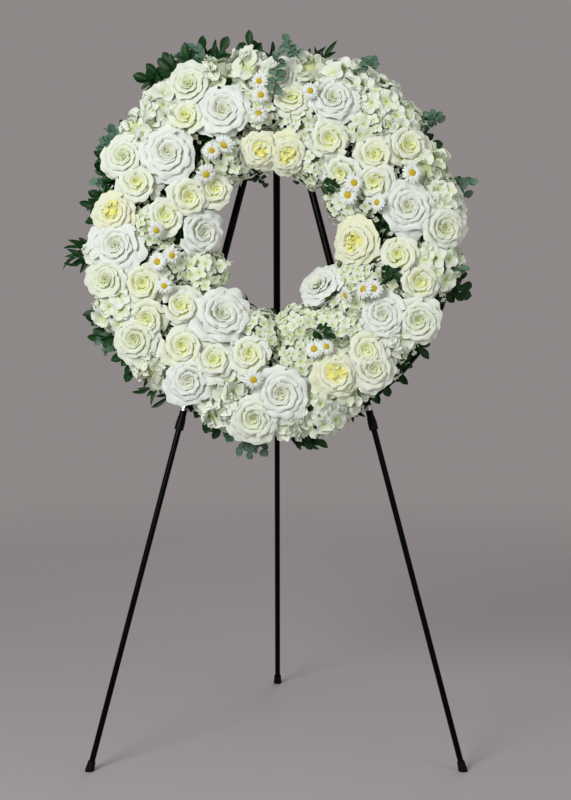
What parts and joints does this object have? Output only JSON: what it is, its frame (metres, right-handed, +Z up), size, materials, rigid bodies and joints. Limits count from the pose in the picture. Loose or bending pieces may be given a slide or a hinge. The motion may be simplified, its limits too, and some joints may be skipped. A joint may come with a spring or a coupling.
{
  "type": "funeral wreath",
  "caption": "Round standing wreath of white and cream silk roses, peonies and hydrangea sprigs with dark leaves, held on the arms of a folding tripod easel with telescopic legs.",
  "frame": {"origin": "on the floor, under the middle of the whole object", "axes": "+Z up; the wreath and the two front legs face -Y, the third leg stands behind at +Y; +X is to the right as seen from the front"},
  "size_m": [0.8999, 0.7352, 1.5665],
  "materials": {
    "black_enamel": "gloss black enamel over steel tube and sheet",
    "black_plastic": "moulded black plastic",
    "black_rubber": "matt black rubber",
    "chrome": "bright plated steel",
    "zinc_steel": "zinc-plated steel",
    "green_foam": "rigid green floral foam",
    "green_plastic": "moulded dark green plastic",
    "white_petal": "white silk cloth petals",
    "cream_petal": "cream silk cloth petals with a yellow heart",
    "ivory_bunch": "ivory silk cloth petals",
    "dark_leaf": "dark green waxed cloth leaves on wire"
  },
  "bodies": {
    "stand_and_wreath": {"head_bracket": "black_enamel", "left_pivot_pin": "zinc_steel", "right_pivot_pin": "zinc_steel", "rear_pivot_pin": "zinc_steel", "left_knuckle": "black_plastic", "right_knuckle": "black_plastic", "left_upper_tube": "black_enamel", "right_upper_tube": "black_enamel", "left_clip": "chrome", "right_clip": "chrome", "left_clip_screw": "zinc_steel", "right_clip_screw": "zinc_steel", "left_arm_sleeve": "black_rubber", "right_arm_sleeve": "black_rubber", "ring_tray": "green_plastic", "foam_ring": "green_foam", "bunch_bottom": "ivory_bunch", "bunch_bottom_left": "ivory_bunch", "bunch_inner_left": "ivory_bunch", "bunch_inner_right": "ivory_bunch", "bunch_left": "ivory_bunch", "bunch_right": "ivory_bunch", "bunch_right_lower": "ivory_bunch", "bunch_right_upper": "ivory_bunch", "bunch_top": "ivory_bunch", "bunch_top_left": "ivory_bunch", "bunch_top_right": "ivory_bunch", "greenery_bottom_left": "dark_leaf", "greenery_bottom_right": "dark_leaf", "greenery_left": "dark_leaf", "greenery_right": "dark_leaf", "greenery_top_left": "dark_leaf", "greenery_top_right": "dark_leaf", "large_rose_01": "white_petal", "large_rose_02": "white_petal", "large_rose_03": "white_petal", "large_rose_04": "white_petal", "large_rose_05": "white_petal", "large_rose_06": "white_petal", "large_rose_07": "white_petal", "large_rose_08": "white_petal", "large_rose_09": "white_petal", "large_rose_10": "white_petal", "large_rose_11": "white_petal", "peony_01": "cream_petal", "peony_02": "cream_petal", "peony_03": "cream_petal", "peony_04": "cream_petal", "peony_05": "cream_petal"},
    "rear_leg": {"rear_knuckle": "black_plastic", "rear_upper_tube": "black_enamel"},
    "left_collar_body": {"left_collar": "black_plastic"},
    "left_lower_leg": {"left_lower_tube": "black_enamel", "left_foot": "black_rubber"},
    "right_collar_body": {"right_collar": "black_plastic"},
    "right_lower_leg": {"right_lower_tube": "black_enamel", "right_foot": "black_rubber"},
    "rear_collar_body": {"rear_collar": "black_plastic"},
    "rear_lower_leg": {"rear_lower_tube": "black_enamel", "rear_foot": "black_rubber"}
  },
  "joints": [
    {"name": "rear_leg_fold", "type": "hinge", "parent": "stand_and_wreath", "child": "rear_leg", "pos_m": [0, -0.08262, 1.4519], "axis": [-1, 0, 0], "range_deg": [0, 26]},
    {"name": "left_collar_twist", "type": "hinge", "parent": "stand_and_wreath", "child": "left_collar_body", "pos_m": [-0.21007, -0.23135, 0.74559], "axis": [0.2511, 0.1546, 0.9555], "range_deg": [0, 90]},
    {"name": "left_leg_slide", "type": "slide", "parent": "stand_and_wreath", "child": "left_lower_leg", "axis": [0.2511, 0.1546, 0.9555], "range_m": [0, 0.6]},
    {"name": "right_collar_twist", "type": "hinge", "parent": "stand_and_wreath", "child": "right_collar_body", "pos_m": [0.21007, -0.23135, 0.74559], "axis": [-0.2511, 0.1546, 0.9555], "range_deg": [0, 90]},
    {"name": "right_leg_slide", "type": "slide", "parent": "stand_and_wreath", "child": "right_lower_leg", "axis": [-0.2511, 0.1546, 0.9555], "range_m": [0, 0.6]},
    {"name": "rear_collar_twist", "type": "hinge", "parent": "rear_leg", "child": "rear_collar_body", "pos_m": [0, 0.13489, 0.73518], "axis": [0, -0.2904, 0.9569], "range_deg": [0, 90]},
    {"name": "rear_leg_slide", "type": "slide", "parent": "rear_leg", "child": "rear_lower_leg", "axis": [0, -0.2904, 0.9569], "range_m": [0, 0.6]}
  ]
}
